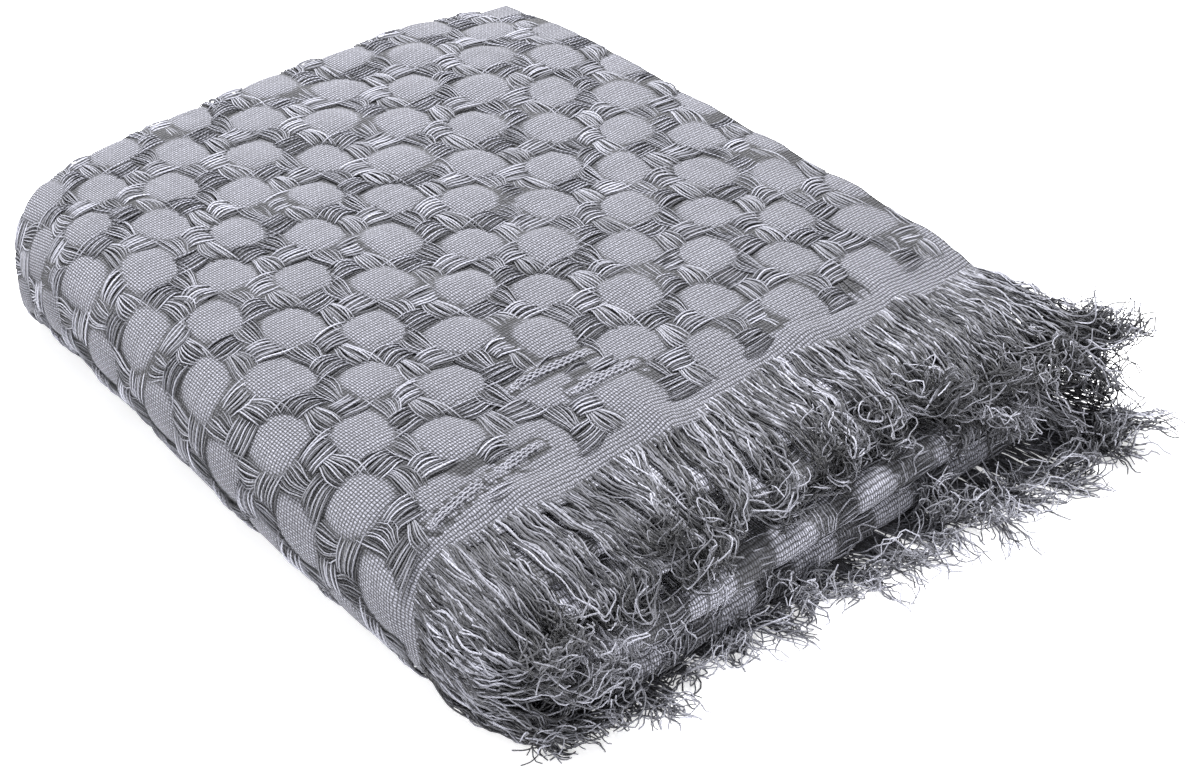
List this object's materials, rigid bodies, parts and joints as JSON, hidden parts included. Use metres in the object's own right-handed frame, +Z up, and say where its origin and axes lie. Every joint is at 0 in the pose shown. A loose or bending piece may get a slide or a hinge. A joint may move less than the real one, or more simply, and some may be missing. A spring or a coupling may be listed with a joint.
{
  "type": "folded woven throw blanket with fringe",
  "caption": "Woven cotton throw folded into a flat stack, one broad round side, basket-weave pads and a loose yarn fringe hanging at one end.",
  "frame": {"origin": "on the surface that the folded throw lies on, under the middle of its bounding box", "axes": "+Z up through the folded plies, +X towards the end where the fringe hangs, -Y the broad round fold"},
  "size_m": [0.5614, 0.4382, 0.0877],
  "materials": {
    "throw_cotton": "matt woven cotton, mid grey, plain-weave pads between bundles of loose floating yarns",
    "fringe_yarn": "matt twisted cotton yarn ends, mid grey, wavy and frayed"
  },
  "bodies": {
    "root": {"throw_cloth": "throw_cotton", "outer_fringe": "fringe_yarn", "inner_fringe": "fringe_yarn"}
  },
  "joints": []
}
